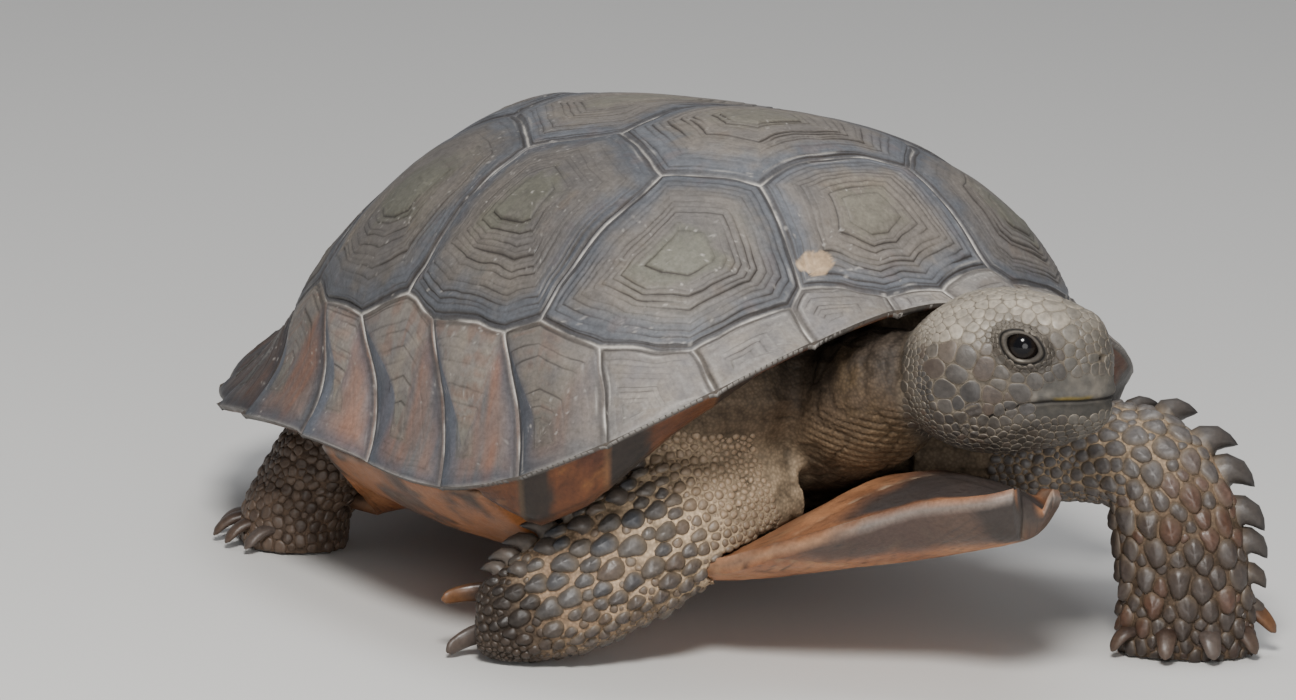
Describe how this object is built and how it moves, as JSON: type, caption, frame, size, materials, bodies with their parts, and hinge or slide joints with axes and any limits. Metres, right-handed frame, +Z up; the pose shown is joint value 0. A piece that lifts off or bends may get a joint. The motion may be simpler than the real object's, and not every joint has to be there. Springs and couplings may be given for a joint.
{
  "type": "tortoise",
  "caption": "Walking gopher tortoise with a high domed shell, raised head turned to its left, scaly digging fore limbs and short claws.",
  "frame": {"origin": "centre of the whole animal's bounding box at floor level", "axes": "+X towards the head, +Y to the animal's left, +Z up"},
  "size_m": [0.3282, 0.2202, 0.1424],
  "materials": {
    "carapace": "satin grey-brown horn with tan areolae and growth rings",
    "plastron": "satin amber-orange horn with dark blotches",
    "skin_body": "matt wrinkled tan-brown skin",
    "skin_head": "satin grey-brown head plates",
    "skin_leg": "satin grey-brown overlapping scales",
    "eye": "wet gloss black-brown",
    "claw": "satin amber-brown horn"
  },
  "bodies": {
    "root": {"carapace": "carapace", "plastron": "plastron", "trunk": "skin_body", "neck": "skin_body", "tail": "skin_body", "head": "skin_head", "leg_front_right": "skin_leg", "leg_front_left": "skin_leg", "leg_rear_right": "skin_leg", "leg_rear_left": "skin_leg", "eye_right": "eye", "eye_left": "eye", "claw_front_right_1": "claw", "claw_front_right_2": "claw", "claw_front_right_3": "claw", "claw_front_right_4": "claw", "claw_front_right_5": "claw", "claw_front_left_1": "claw", "claw_front_left_2": "claw", "claw_front_left_3": "claw", "claw_front_left_4": "claw", "claw_front_left_5": "claw", "claw_rear_right_1": "claw", "claw_rear_right_2": "claw", "claw_rear_right_3": "claw", "claw_rear_right_4": "claw", "claw_rear_left_1": "claw", "claw_rear_left_2": "claw", "claw_rear_left_3": "claw", "claw_rear_left_4": "claw"}
  },
  "joints": []
}
